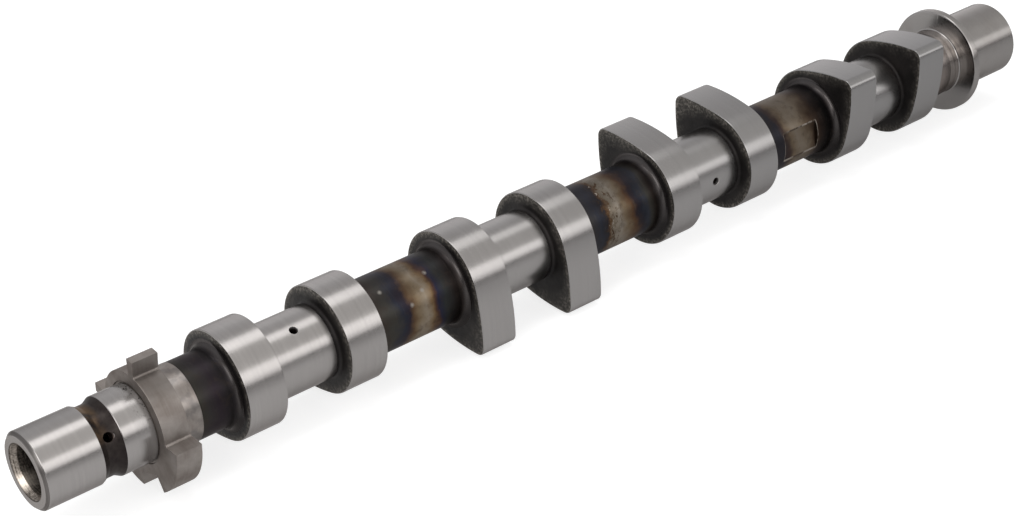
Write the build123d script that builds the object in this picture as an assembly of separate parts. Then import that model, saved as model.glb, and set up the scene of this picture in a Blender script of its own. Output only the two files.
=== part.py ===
from build123d import *
import os
from math import atan2, cos, radians, sin, sqrt, tan

# A one-piece overhead camshaft for a four-cylinder engine with two valves of one kind per cylinder.
# Lengths are in millimetres and angles in degrees. X runs along the shaft from the nose face to the
# rear stub, and angles turn about X from +Y towards +Z.

# nose, which carries the drive sprocket
NOSE_R = 12.3
NOSE_END_X = 18.9
NOSE_CHAMFER = 1.0

# oil groove behind the nose, with sloping walls
GROOVE_R = 11.25
GROOVE_FLOOR_X = 20.8
GROOVE_FLOOR_LENGTH = 3.1

# front journal, between the groove and the trigger ring
JOURNAL_R = 12.5
FRONT_JOURNAL_X = 26.0

# trigger ring: two narrow and two wide teeth, whose leading edges are equal steps apart
RING_X = 36.0
RING_LENGTH = 8.6
RING_ROOT_R = 16.5
TOOTH_R = 22.2
TOOTH_FIRST_ANGLE = 7.0
TOOTH_SPANS = (8.2, 8.2, 58.0, 58.0)
TOOTH_ROOT_FILLET = 0.8
RING_RELIEF_OUTER_R = 13.15
RING_RELIEF_WIDTH = 1.2

# turned collar behind the ring, and the cast shaft sections between the cylinders
COLLAR_END_X = 51.3
COLLAR_R = 12.75
SHAFT_R = 12.65
SHAFT_FILLET = 2.5
SHAFT_SLOPE = 2.0

# lobes: two for each cylinder
CYLINDERS = 4
CYLINDER_PITCH = 86.0
FIRST_LOBE_X = 64.1
LOBE_PITCH = 37.1
LOBE_WIDTH = 13.4
LOBE_EDGE = 0.3
BASE_R = 18.0
LIFT = 8.3
LOBE_NOSE_R = 3.5
FLANK_R = 69.0
NOSE_ANGLES = (320.0, 230.0, 50.0, 140.0)

# bearing journals between the two lobes of a cylinder, with a turned relief at both ends
JOURNAL_RELIEF_LENGTH = 1.55
JOURNAL_RELIEF_R = 12.15

# rear journal, thrust flange and rear stub
FLANGE_X = 391.7
FLANGE_LENGTH = 3.0
FLANGE_R = 19.8
FLANGE_EDGE = 0.3
THRUST_RELIEF_LENGTH = 5.2
THRUST_RELIEF_DEPTH = 0.15
FLANGE_SLOPE = 0.5
STUB_END_X = 422.7
STUB_R = 13.85
STUB_EDGE = 0.5
STUB_SLOPE = 0.6

# bore in the nose, with a centring cone at its mouth, and the oil gallery behind it
BORE_R = 7.9
BORE_MOUTH_R = 9.0
BORE_END_X = 38.0
CENTRING_HALF_ANGLE = 30.0
DRILL_HALF_ANGLE = 59.0
GALLERY_R = 3.5
GALLERY_END_X = 386.0
CENTRE_MOUTH_R = 5.0
CENTRE_PILOT_R = 2.0
CENTRE_PILOT_LENGTH = 5.0

# oil holes, drilled square to the shaft into the bore or the gallery
GROOVE_HOLE_R = 1.5
GROOVE_HOLE_ANGLE = 153.2
JOURNAL_HOLE_R = 1.35
JOURNAL_HOLE_ANGLES = (123.0, 303.0, 183.3, 3.3)
REAR_HOLE_ANGLE = 303.0

# flat in the last cast section, where a mark would go
FLAT_ANGLE = 181.5
FLAT_DEPTH = 1.15
FLAT_LENGTH = 16.6

# how far cutting tools and joined bodies reach past the faces they meet
OVERLAP = 0.05
CUT_MARGIN = 1.0


def lobe_front(cylinder, side):
    """Front face of a cylinder's first (0) or second (1) lobe."""
    return FIRST_LOBE_X + cylinder * CYLINDER_PITCH + side * LOBE_PITCH


def rear_journal_start():
    """Back face of the last lobe, where the rear journal begins."""
    return lobe_front(CYLINDERS - 1, 1) + LOBE_WIDTH


def journal_middle(cylinder):
    """Middle of the bearing journal between a cylinder's two lobes."""
    return (lobe_front(cylinder, 0) + LOBE_WIDTH + lobe_front(cylinder, 1)) / 2


def polar(radius, angle):
    """Point of a cross-section at an angle in degrees."""
    return (radius * cos(radians(angle)), radius * sin(radians(angle)))


def section_at(x):
    """Plane square to the shaft, with its own x along +Y and its own y along +Z."""
    return Plane(origin=(x, 0, 0), x_dir=(0, 1, 0), z_dir=(1, 0, 0))


class Outline:
    """Half section of a turned body: radius against place along the shaft."""

    def __init__(self, x, r):
        self.here = (x, r)
        self.edges = []

    def to(self, x, r):
        self.edges.append(Line(self.here, (x, r)))
        self.here = (x, r)

    def round_up(self, x, r, radius):
        """Concave quarter fillet from a shaft of radius r up to the front face of a lobe at x."""
        face = x + OVERLAP
        inset = radius * (1 - cos(radians(45)))
        self.to(face - radius, r)
        self.edges.append(ThreePointArc(self.here, (face - inset, r + inset), (face, r + radius)))
        self.here = (face, r + radius)

    def slope_down(self, x, r, size):
        """Small 45 degree slope from a back face at x down to a shaft of radius r."""
        self.to(x - OVERLAP, r + size + OVERLAP)
        self.to(x + size, r)

    def revolved(self):
        start = self.edges[0] @ 0
        self.to(self.here[0], 0)
        self.to(start.X, 0)
        self.to(start.X, start.Y)
        return revolve(make_face(Wire(self.edges)), Axis.X)


def journal_outline(outline, cylinder):
    """Bearing journal between a cylinder's lobes, with a relief at both ends."""
    end = lobe_front(cylinder, 1)
    journal_start(outline, lobe_front(cylinder, 0) + LOBE_WIDTH)
    outline.to(end - JOURNAL_RELIEF_LENGTH, JOURNAL_R)
    outline.to(end - JOURNAL_RELIEF_LENGTH, JOURNAL_RELIEF_R)
    outline.to(end, JOURNAL_RELIEF_R)


def journal_start(outline, lobe_back):
    """Relief by which a journal begins behind a lobe."""
    outline.to(lobe_back, JOURNAL_RELIEF_R)
    outline.to(lobe_back + JOURNAL_RELIEF_LENGTH, JOURNAL_RELIEF_R)
    outline.to(lobe_back + JOURNAL_RELIEF_LENGTH, JOURNAL_R)


def nose_outline():
    """Nose, oil groove, front journal and collar, up to the first cast section."""
    outline = Outline(0, NOSE_R - NOSE_CHAMFER)
    outline.to(NOSE_CHAMFER, NOSE_R)
    outline.to(NOSE_END_X, NOSE_R)
    outline.to(GROOVE_FLOOR_X, GROOVE_R)
    outline.to(GROOVE_FLOOR_X + GROOVE_FLOOR_LENGTH, GROOVE_R)
    outline.to(FRONT_JOURNAL_X, JOURNAL_R)
    outline.to(RING_X + RING_LENGTH / 2, JOURNAL_R)
    outline.to(RING_X + RING_LENGTH / 2, COLLAR_R)
    outline.to(COLLAR_END_X, COLLAR_R)
    outline.to(COLLAR_END_X, SHAFT_R)
    return outline


def rear_outline(outline):
    """Rear journal, thrust flange and rear stub."""
    relief_x = FLANGE_X - THRUST_RELIEF_LENGTH
    relief_r = JOURNAL_R - THRUST_RELIEF_DEPTH
    journal_start(outline, rear_journal_start())
    outline.to(relief_x, JOURNAL_R)
    outline.to(relief_x, relief_r)
    outline.to(FLANGE_X - FLANGE_SLOPE, relief_r)
    outline.to(FLANGE_X, relief_r + FLANGE_SLOPE)
    outline.to(FLANGE_X, FLANGE_R - FLANGE_EDGE)
    outline.to(FLANGE_X + FLANGE_EDGE, FLANGE_R)
    outline.to(FLANGE_X + FLANGE_LENGTH - FLANGE_EDGE, FLANGE_R)
    outline.to(FLANGE_X + FLANGE_LENGTH, FLANGE_R - FLANGE_EDGE)
    outline.to(FLANGE_X + FLANGE_LENGTH, STUB_R + STUB_SLOPE)
    outline.to(FLANGE_X + FLANGE_LENGTH + STUB_SLOPE, STUB_R)
    outline.to(STUB_END_X - STUB_EDGE, STUB_R)
    outline.to(STUB_END_X, STUB_R - STUB_EDGE)


def turned_shaft():
    """The whole shaft without ring and lobes."""
    outline = nose_outline()
    for cylinder in range(CYLINDERS):
        outline.round_up(lobe_front(cylinder, 0), SHAFT_R, SHAFT_FILLET)
        journal_outline(outline, cylinder)
        if cylinder < CYLINDERS - 1:
            outline.slope_down(lobe_front(cylinder, 1) + LOBE_WIDTH, SHAFT_R, SHAFT_SLOPE)
    rear_outline(outline)
    return outline.revolved()


def lobe_profile():
    """Three-arc cam: base circle, two flanks and a nose that meet without a corner, nose along +x."""
    nose_x = BASE_R + LIFT - LOBE_NOSE_R
    base_gap = FLANK_R - BASE_R
    nose_gap = FLANK_R - LOBE_NOSE_R
    flank_x = (base_gap ** 2 - nose_gap ** 2 + nose_x ** 2) / (2 * nose_x)
    flank_y = sqrt(base_gap ** 2 - flank_x ** 2)
    base_angle = atan2(flank_y, -flank_x)
    nose_angle = atan2(flank_y, nose_x - flank_x)
    flank_angle = (base_angle + nose_angle) / 2
    base_point = (BASE_R * cos(base_angle), BASE_R * sin(base_angle))
    nose_point = (nose_x + LOBE_NOSE_R * cos(nose_angle), LOBE_NOSE_R * sin(nose_angle))
    flank_point = (flank_x + FLANK_R * cos(flank_angle), FLANK_R * sin(flank_angle) - flank_y)
    tip = (nose_x + LOBE_NOSE_R, 0)
    edges = [
        ThreePointArc(base_point, (-BASE_R, 0), below(base_point)),
        ThreePointArc(below(base_point), below(flank_point), below(nose_point)),
        ThreePointArc(below(nose_point), tip, nose_point),
        ThreePointArc(nose_point, flank_point, base_point),
    ]
    return make_face(Wire(edges))


def below(point):
    """Mirror image of a section point about the lobe's own middle line."""
    return (point[0], -point[1])


def lobe(x, angle):
    """One lobe with its ground edges broken, nose at the given angle."""
    face = section_at(x) * Rot(0, 0, angle) * lobe_profile()
    body = extrude(face, LOBE_WIDTH)
    groups = body.edges().group_by(Axis.X)
    return chamfer(groups[0] + groups[-1], LOBE_EDGE)


def arc_about_shaft(radius, start, end):
    """Arc about the shaft's axis between two angles."""
    return ThreePointArc(polar(radius, start), polar(radius, (start + end) / 2), polar(radius, end))


def trigger_ring():
    """Toothed ring with small fillets where the teeth stand on it."""
    edges = []
    step = 360 / len(TOOTH_SPANS)
    for tooth, span in enumerate(TOOTH_SPANS):
        start = TOOTH_FIRST_ANGLE + step * tooth
        end = start + span
        edges.append(Line(polar(RING_ROOT_R, start), polar(TOOTH_R, start)))
        edges.append(arc_about_shaft(TOOTH_R, start, end))
        edges.append(Line(polar(TOOTH_R, end), polar(RING_ROOT_R, end)))
        edges.append(arc_about_shaft(RING_ROOT_R, end, start + step))
    body = extrude(section_at(RING_X) * make_face(Wire(edges)), RING_LENGTH)
    roots = [
        edge for edge in body.edges().filter_by(Axis.X)
        if sqrt(edge.center().Y ** 2 + edge.center().Z ** 2) < (RING_ROOT_R + TOOTH_R) / 2
    ]
    return fillet(roots, TOOTH_ROOT_FILLET)


def cone_length(wide_r, narrow_r, half_angle):
    """Length along the axis of a cone between two radii."""
    return (wide_r - narrow_r) / tan(radians(half_angle))


def bore_and_gallery():
    """Stepped hole from the nose: centring cone, bore, drill point and long oil gallery."""
    outline = Outline(-CUT_MARGIN, BORE_MOUTH_R)
    outline.to(0, BORE_MOUTH_R)
    outline.to(cone_length(BORE_MOUTH_R, BORE_R, CENTRING_HALF_ANGLE), BORE_R)
    outline.to(BORE_END_X, BORE_R)
    outline.to(BORE_END_X + cone_length(BORE_R, GALLERY_R, DRILL_HALF_ANGLE), GALLERY_R)
    outline.to(GALLERY_END_X, GALLERY_R)
    outline.to(GALLERY_END_X + cone_length(GALLERY_R, OVERLAP, DRILL_HALF_ANGLE), OVERLAP)
    return outline.revolved()


def rear_centre():
    """Centre hole in the rear face."""
    pilot_x = STUB_END_X - cone_length(CENTRE_MOUTH_R, CENTRE_PILOT_R, CENTRING_HALF_ANGLE)
    outline = Outline(pilot_x - CENTRE_PILOT_LENGTH, CENTRE_PILOT_R)
    outline.to(pilot_x, CENTRE_PILOT_R)
    outline.to(STUB_END_X, CENTRE_MOUTH_R)
    outline.to(STUB_END_X + CUT_MARGIN, CENTRE_MOUTH_R)
    return outline.revolved()


def oil_hole(x, angle, radius):
    """Drilled hole from the middle of the shaft out through its surface."""
    across = Plane(origin=(x, 0, 0), x_dir=(1, 0, 0), z_dir=(0, *polar(1, angle)))
    return extrude(across * Circle(radius), JOURNAL_R + CUT_MARGIN)


def flat_tool():
    """Block that leaves the flat, midway along the last cast section."""
    start = lobe_front(CYLINDERS - 2, 1) + LOBE_WIDTH
    middle = (start + lobe_front(CYLINDERS - 1, 0)) / 2
    side = 2 * SHAFT_R
    floor = SHAFT_R - FLAT_DEPTH
    block = Pos(middle, floor + side / 2, 0) * Box(FLAT_LENGTH, side, side)
    return Rot(FLAT_ANGLE, 0, 0) * block


def ring_relief():
    """Turned relief at the inner corner between the front journal and the ring's face."""
    outer = Cylinder(RING_RELIEF_OUTER_R, RING_RELIEF_WIDTH)
    inner = Cylinder(JOURNAL_RELIEF_R, RING_RELIEF_WIDTH + CUT_MARGIN)
    return Pos(RING_X, 0, 0) * Rot(0, 90, 0) * (outer - inner)


def camshaft():
    body = turned_shaft() + trigger_ring()
    for cylinder, angle in enumerate(NOSE_ANGLES):
        for side in (0, 1):
            body += lobe(lobe_front(cylinder, side), angle)
    body -= bore_and_gallery()
    body -= rear_centre()
    body -= ring_relief()
    body -= flat_tool()
    groove_middle = GROOVE_FLOOR_X + GROOVE_FLOOR_LENGTH / 2
    body -= oil_hole(groove_middle, GROOVE_HOLE_ANGLE, GROOVE_HOLE_R)
    for cylinder, angle in enumerate(JOURNAL_HOLE_ANGLES):
        body -= oil_hole(journal_middle(cylinder), angle, JOURNAL_HOLE_R)
    rear_middle = (rear_journal_start() + FLANGE_X - THRUST_RELIEF_LENGTH) / 2
    body -= oil_hole(rear_middle, REAR_HOLE_ANGLE, JOURNAL_HOLE_R)
    return body


os.makedirs("parts", exist_ok=True)
export_step(camshaft(), "parts/camshaft.step")
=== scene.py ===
from math import acos, asin, atan2, cos, degrees, pi, radians, sin, sqrt, tan

import bmesh
import bpy
import numpy as np
from mathutils import Matrix, Vector


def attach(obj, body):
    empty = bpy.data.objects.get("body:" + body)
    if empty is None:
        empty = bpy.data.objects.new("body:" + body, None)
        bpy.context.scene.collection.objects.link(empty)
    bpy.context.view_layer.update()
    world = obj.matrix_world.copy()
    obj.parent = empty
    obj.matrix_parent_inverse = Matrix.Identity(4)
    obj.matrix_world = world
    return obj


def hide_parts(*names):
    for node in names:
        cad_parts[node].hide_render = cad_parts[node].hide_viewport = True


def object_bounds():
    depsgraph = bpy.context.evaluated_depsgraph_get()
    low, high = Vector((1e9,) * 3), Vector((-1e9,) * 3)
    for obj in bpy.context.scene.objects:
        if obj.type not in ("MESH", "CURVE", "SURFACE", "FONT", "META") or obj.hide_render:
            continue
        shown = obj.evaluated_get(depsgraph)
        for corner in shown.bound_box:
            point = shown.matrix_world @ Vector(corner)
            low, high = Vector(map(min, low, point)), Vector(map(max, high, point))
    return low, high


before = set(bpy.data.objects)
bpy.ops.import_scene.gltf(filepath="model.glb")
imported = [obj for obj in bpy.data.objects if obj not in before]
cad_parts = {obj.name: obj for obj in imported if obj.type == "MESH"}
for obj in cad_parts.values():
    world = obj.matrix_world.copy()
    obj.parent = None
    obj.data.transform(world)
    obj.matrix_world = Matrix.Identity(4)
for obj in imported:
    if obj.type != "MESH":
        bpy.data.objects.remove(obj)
cad_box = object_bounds()

# Sizes are in millimetres and angles in degrees. X runs along the shaft from the nose face, Z is up, and
# angles turn about X from +Y towards +Z.
MM = 0.001

# nose, oil groove and front journal
NOSE_R = 12.3
NOSE_END_X = 18.9
NOSE_CHAMFER = 1.0
FACE_EDGE = 0.06
BEVEL_ROUND = 0.1
GROOVE_R = 11.25
GROOVE_X = 20.8
JOURNAL_R = 12.5
FRONT_JOURNAL_X = 26.0

# profile of the oil groove: places behind its start and heights over its floor
GROOVE_PROFILE = ((-0.3, 0.12), (0.2, 0.0), (2.5, 0.0), (3.1, 0.1), (4.0, 0.5))

# trigger ring and collar
RING_X = 36.0
RING_LENGTH = 8.6
RING_EDGE = 0.12
RING_ROOT_R = 16.5
TOOTH_R = 22.2
TOOTH_FIRST_ANGLE = 7.0
TOOTH_SPANS = (8.2, 8.2, 58.0, 58.0)
TOOTH_ROOT_FILLET = 0.8
ROOT_CENTRE_R = RING_ROOT_R + TOOTH_ROOT_FILLET
ROOT_SPAN = degrees(asin(TOOTH_ROOT_FILLET / ROOT_CENTRE_R))
RELIEF_OUTER_R = 13.15
RELIEF_SLOPE = 0.2
RELIEF_FRONT = 0.15
RELIEF_DEPTH = 0.35
COLLAR_END_X = 51.3
COLLAR_R = 12.75
COLLAR_FILLET = 0.35
COLLAR_EDGE = 0.1

# cast sections, and the flat with a bare line along its edges
SHAFT_R = 12.65
SHAFT_FILLET = 2.5
FLAT_ANGLE = 181.5
FLAT_DEPTH = 1.15
FLAT_LENGTH = 16.6
FLAT_FLOOR = SHAFT_R - FLAT_DEPTH
FLAT_HALF_SPAN = degrees(acos(FLAT_FLOOR / SHAFT_R))
FLAT_LINE = 0.30
FLAT_LINE_SPAN = degrees(FLAT_LINE / SHAFT_R)

# lobes: two for each cylinder, with their noses at one angle
CYLINDERS = 4
CYLINDER_PITCH = 86.0
FIRST_LOBE_X = 64.1
LOBE_PITCH = 37.1
LOBE_WIDTH = 13.4
LOBE_EDGE = 0.3
LOBE_RIM = 1.7
LOBE_RIM_WEAR = 0.4
BASE_R = 18.0
LIFT = 8.3
LOBE_NOSE_R = 3.5
FLANK_R = 69.0
NOSE_ANGLES = (320.0, 230.0, 50.0, 140.0)

# inner journals
RELIEF_LENGTH = 1.55
RELIEF_R = 12.15
RELIEF_FILLET = 1.0
JOURNAL_EDGE = 0.2

# thrust flange and rear stub
FLANGE_X = 391.7
FLANGE_LENGTH = 3.0
FLANGE_R = 19.8
FLANGE_EDGE = 0.3
THRUST_RELIEF_LENGTH = 5.2
THRUST_RELIEF_DEPTH = 0.15
FLANGE_FILLET = 0.6
FLANGE_ROUND = 0.7
STUB_END_X = 422.7
STUB_R = 13.85
STUB_EDGE = 0.5

# bore, gallery, rear centre and oil holes. The hole in the groove is its place, angle, radius and the
# radius of the surface that it opens in.
BORE_R = 7.9
BORE_MOUTH_R = 9.0
BORE_END_X = 38.0
MOUTH_LIP = 0.12
CONE_SLOPE = tan(radians(30))
DRILL_SLOPE = tan(radians(59))
DRILL_TIP_R = 0.02
GALLERY_R = 3.5
GALLERY_END_X = 386.0
CENTRE_MOUTH_R = 5.0
CENTRE_PILOT_R = 2.0
CENTRE_PILOT_LENGTH = 5.0
GROOVE_HOLE = (22.35, 153.2, 1.5, GROOVE_R)
JOURNAL_HOLE_R = 1.35
JOURNAL_HOLE_ANGLES = (123.0, 303.0, 183.3, 3.3)
REAR_HOLE_X = 379.55
REAR_HOLE_ANGLE = 303.0
HOLE_START_R = 1.0
HOLE_FLARE = 0.15
HOLE_SIDES = 32

# how finely the skin is divided
EVEN_STEP = 1.5
NOSE_HALF_SPAN = 12.0
NOSE_STEP = 0.75
WALL_LEAN = 0.1
ROOT_SHARES = (0, 0.08, 0.2, 0.36, 0.56, 0.78, 1)
FILLET_STEPS = 6
SMALL_FILLET_STEPS = 4
EDGE_BELLY = 0.3
WELD_DISTANCE = 0.002
SHARP_ANGLE = 30

# ground surfaces: colours, roughness, and where pits, stains and duller metal lie. Two numbers are the
# places, heights, radii or angles between which a look comes in, and four are those of a stretch that
# also fades out again.
GROUND_DARK = (0.291, 0.277, 0.270)
GROUND_PALE = (0.317, 0.302, 0.294)
GROUND_WORN = (0.28, 0.265, 0.257)
GROUND_FAR = (0.294, 0.294, 0.298)
GROUND_FAR_X = (100, 380)
GROUND_ROUGHNESS = (0.225, 0.245)
PIT = (0.03, 0.025, 0.022)
PIT_X = (31.5, 34.5, 36.0, 36.2)
PIT_Z = (4, 9)
BEARING_R = (12.6, 13.0)
BEARING_X = (60, 65)
BEARING_STAIN = (0.205, 0.165, 0.145)
BEARING_STAIN_X = (345, 357)
BEARING_ROUGHER = 0.022
DULL_X = (30, 35)

# turned surfaces, the scored relief before the flange, painted brighter as light, and the bevel of the nose,
# painted darker as shade
TURNED_DARK = (0.305, 0.290, 0.281)
TURNED_PALE = (0.340, 0.324, 0.314)
TURNED_WORN = (0.27, 0.248, 0.234)
TURNED_ROUGHNESS = (0.19, 0.24)
TURNED_CIRCLES_PER_MM = 2.5
THRUST_X = (386.6, 386.8, 391.0, 391.4)
# painted light: the relief before the flange is much brighter than steel, mixed with brown wear and dark
# scores
THRUST_PAINTED_BRIGHT = (0.66, 0.63, 0.61)
THRUST_BROWN = (0.42, 0.375, 0.345)
THRUST_SCORE = (0.17, 0.145, 0.13)
# painted shade: the bevel's colours are darker than steel's, for the dark reflection it shows
BEVEL_SHADED_DARK = (0.115, 0.106, 0.101)
BEVEL_SHADED_PALE = (0.165, 0.153, 0.147)

# bare metal at cut edges
BARE_PALE = (0.27, 0.24, 0.21)
BARE_DARK = (0.075, 0.058, 0.045)

# trigger ring and collar
RING_PALE = (0.262, 0.238, 0.222)
RING_BROWN = (0.176, 0.152, 0.138)
RING_LINE = (0.29, 0.27, 0.25)
RING_ROUGHNESS = (0.50, 0.58)
# painted shade: a dark colour over the ring's outer surface on its upper side, about the angle given, from
# its front face back to the collar
RING_PAINTED_SHADE = (0.052, 0.045, 0.041)
RING_PAINTED_SHADE_ANGLE = 121
RING_PAINTED_SHADE_SPAN = (4, 22)
RING_PAINTED_SHADE_X = (36.1, 36.4)
COLLAR_X = (44.6, 46.2)
COLLAR_BLOTCH = (0.105, 0.100, 0.100)
COLLAR_SMOOTHER = 0.20

# oil groove
GROOVE_BLACK = (0.015, 0.011, 0.011)
GROOVE_GREY = (0.036, 0.030, 0.027)
GROOVE_ROUGHNESS = (0.30, 0.46)
RUST = (0.115, 0.072, 0.038)
RUST_X = (20.5, 23.5)
RUST_Z = (3, 9)

# bore and oil holes
BORE_WORN_DARK = (0.065, 0.054, 0.045)
BORE_WORN_HIGHLIGHT_PALE = (0.99, 0.88, 0.77)
BORE_WEAR_AND_HIGHLIGHT_X = (2.6, 6.2)
# painted shade: darker colours further into the bore, the gallery and the oil holes
BORE_DEEP_BROWN = (0.065, 0.048, 0.041)
BORE_DEEP_BLACK = (0.034, 0.025, 0.022)
# painted highlight: a golden patch on the mouth's wall about this angle, for a lamp's reflection
BORE_HIGHLIGHT_ANGLE = -48
BORE_HIGHLIGHT_SPAN = (3, 24)
LIP_DARK = (0.045, 0.038, 0.034)
LIP_R = (8.80, 8.96)
LIP_X = (0.4, 0.6)
# painted light on the oil holes' walls near the shaft's surface
HOLE_PAINTED_LIGHT = (0.40, 0.38, 0.37)
HOLE_PAINTED_LIGHT_R = (11.3, 11.7)

# unmachined sides of the lobes
SIDE_BLACK = (0.009, 0.008, 0.008)
SIDE_DARK = (0.026, 0.023, 0.022)
SIDE_BROWN = (0.066, 0.060, 0.052)
SIDE_WORN = (0.29, 0.265, 0.235)
SIDE_ROUGHNESS = (0.36, 0.52)
SIDE_UPPER_Z = (11, 19)
SIDE_FAR_X = (290, 320)

# skin of the cast sections
CAST_TOP = (0.020, 0.018, 0.020)
CAST_TOP_Z = (4.5, 11.5)
CAST_MOTTLE = (0.035, 0.026, 0.021)
CAST_STREAK = (0.10, 0.09, 0.08)
CAST_ROUGHNESS = (0.36, 0.46)
CALM_X = (3, 10)
RAGGED_X = (208, 210, 215, 218)
SCALE_X = (210.0, 211.8, 215.0, 219.0)
SCALE_BROWN = (0.045, 0.024, 0.012)
SCALE_PALE = (0.30, 0.27, 0.235)
# the fillets at the lobes carry painted light: a painted highlight where they lie high and towards -Y, and
# painted shade elsewhere
FILLET_ZONE_R = (12.8, 13.4)
FILLET_SLANT = 0.8
FILLET_LIT = (2, 12)
FILLET_PAINTED_SHADE = (0.028, 0.025, 0.025)
FILLET_PAINTED_HIGHLIGHT = (0.076, 0.069, 0.068)
FILLET_SMOOTHER = 0.20

# small pale spots at dings in the skin of the second section, painted as glints of light: place along the
# shaft and angle
DING_GLINTS = ((121.4, 124.4), (138.9, 124.4), (129.6, 160.3), (134.9, 146.4))
DING_GLINT_R = 0.95
DING_GLINT_PALE = (0.25, 0.235, 0.215)

# borders of the heat colours that lean: the stretch along the shaft, the heights between which the lean
# grows, and how far it goes
LEANS = (
    ((132.5, 135.0, 141.0, 144.0), (3, -6), -2.0),
    ((290.0, 293.0, 301.0, 304.5), (0, 9), 3.0),
)

# heat colours of the cast sections, each as places along the shaft and base colours there
CAST_SECTIONS = (
    (
        (51.5, (0.028, 0.026, 0.022)), (54, (0.026, 0.023, 0.023)), (57.5, (0.019, 0.014, 0.018)),
        (61, (0.015, 0.013, 0.014)), (64, (0.014, 0.012, 0.013)),
    ),
    (
        (117, (0.036, 0.028, 0.023)), (121, (0.036, 0.034, 0.030)), (124.5, (0.018, 0.020, 0.030)),
        (127, (0.019, 0.015, 0.022)), (129, (0.085, 0.050, 0.027)), (131.2, (0.150, 0.110, 0.068)),
        (134.0, (0.205, 0.168, 0.126)), (136.6, (0.140, 0.090, 0.047)), (138.2, (0.058, 0.029, 0.018)),
        (140, (0.015, 0.015, 0.032)), (143, (0.022, 0.024, 0.024)), (146.5, (0.014, 0.010, 0.009)),
        (150, (0.016, 0.013, 0.012)),
    ),
    (
        (203, (0.034, 0.031, 0.029)), (208, (0.021, 0.023, 0.032)), (210.4, (0.018, 0.016, 0.018)),
        (211.6, (0.075, 0.040, 0.019)), (213, (0.140, 0.116, 0.088)), (217, (0.205, 0.178, 0.146)),
        (220.3, (0.128, 0.094, 0.060)), (222.6, (0.072, 0.038, 0.020)), (224.8, (0.020, 0.014, 0.017)),
        (226.6, (0.014, 0.015, 0.022)), (228.6, (0.023, 0.026, 0.035)), (230.6, (0.032, 0.030, 0.026)),
        (232.6, (0.016, 0.011, 0.009)), (235.5, (0.018, 0.017, 0.018)),
    ),
    (
        (289, (0.026, 0.023, 0.024)), (296.5, (0.018, 0.018, 0.024)), (299, (0.040, 0.026, 0.022)),
        (301.3, (0.124, 0.092, 0.062)), (304.4, (0.160, 0.132, 0.103)), (307, (0.136, 0.107, 0.078)),
        (309.4, (0.080, 0.057, 0.038)), (311.8, (0.036, 0.022, 0.014)), (314.2, (0.017, 0.011, 0.009)),
        (318, (0.007, 0.006, 0.006)), (321.8, (0.009, 0.007, 0.007)),
    ),
)
SECTION_BORDERS = (0.0, 90.0, 175.0, 260.0)

# what grazing light keeps of its colour on metal
EDGE_TINT = (0.6, 0.58, 0.57, 1.0)

# level of the soft light from all round
SOFT_LEVEL = 0.5

# the sky that metal sees, by the turn about the shaft: it starts straight below, 0 is behind the shaft,
# 90 above it and 180 in front of it
SKY_START = -90
SKY_PEAK = 1.5
SKY = (
    (-90, (0.44, 0.44, 0.44)), (0, (0.88, 0.89, 0.92)), (30, (0.95, 0.96, 0.98)), (50, (0.64, 0.64, 0.65)),
    (66, (0.53, 0.525, 0.525)), (90, (0.63, 0.628, 0.62)), (112, (0.78, 0.77, 0.755)),
    (153, (0.78, 0.77, 0.755)), (163, (0.48, 0.47, 0.46)), (170, (0.14, 0.13, 0.13)),
    (184, (0.07, 0.064, 0.064)), (194, (0.27, 0.26, 0.26)), (270, (0.44, 0.44, 0.44)),
)

# shares by which metal sees the sky dimmer or brighter in part: two turns, and the share at each of them.
# The far shares come in, and the near one fades, as a direction leans along the shaft between two slopes.
FAR_LEAN = (0.30, 0.68)
FAR_LOSS = (60, 100, 0.18, 0.37)
FAR_FRONT_GAIN = (150, 175, 0.0, 0.9)
FAR_BEHIND_GAIN = (6, 28, 0.30, 0.0)
NEAR_LEAN = (0.35, 0.41)
NEAR_LOSS = (30, 60, 0.46, 0.0)

# lamps, in metres: turn about the shaft, width, and stretches along the shaft with the radiance of each
LAMP_DISTANCE = 1.0
LAMPS = (
    ("lamp_above", 90.0, 0.40, ((-0.5, 0.70, 1.95), (0.70, 0.95, 1.1))),
    ("lamp_front", 160.0, 0.45, ((-0.5, 0.85, 1.75), (0.85, 1.15, 1.2), (1.15, 1.8, 0.75))),
    ("lamp_left", 130.0, 0.9, ((-1.9, -0.7, 2.2),)),
)

# floor, in metres: the glow that the eye sees, and the one that metal sees, which changes with distance,
# in front of the shaft and behind it. Each is two places and the level at each of them.
FLOOR_HALF = 6.0
FLOOR_GREY = 0.55
FLOOR_ROUGHNESS = 0.9
FLOOR_SEEN = 0.72
FLOOR_FADE = (0.05, 0.50, 0.50, 0.12)
FLOOR_FRONT = (-0.20, -0.07, 0.25, 1.0)
FLOOR_BEHIND = (0.09, 0.17, 0.0, 0.75)

# camera: its place in metres, the turn of its view about Z from +X, the tilt downwards and the roll
CAMERA_PLACE = (-0.1942, -0.4938, 0.2861)
CAMERA_TURN = 53.039
CAMERA_TILT = 24.949
CAMERA_ROLL = -6.821
SENSOR_WIDTH = 36.0
LENS = 73.81
CLIP_START = 0.01

# kinds of surface, as the numbers of their materials
GROUND, SIDE, CAST, RING, GROOVE, BORE, TURNED, BARE, BEVEL = range(9)


def lobe_front(cylinder, side):
    """Front face of a cylinder's first (0) or second (1) lobe."""
    return FIRST_LOBE_X + cylinder * CYLINDER_PITCH + side * LOBE_PITCH


def direction(angle):
    """Direction square to the shaft, at an angle about it."""
    return Vector((0, cos(radians(angle)), sin(radians(angle))))


def turn_between(angle, other):
    """Signed angle from one direction to another, between -180 and 180 degrees."""
    return (angle - other + 180) % 360 - 180


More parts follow.
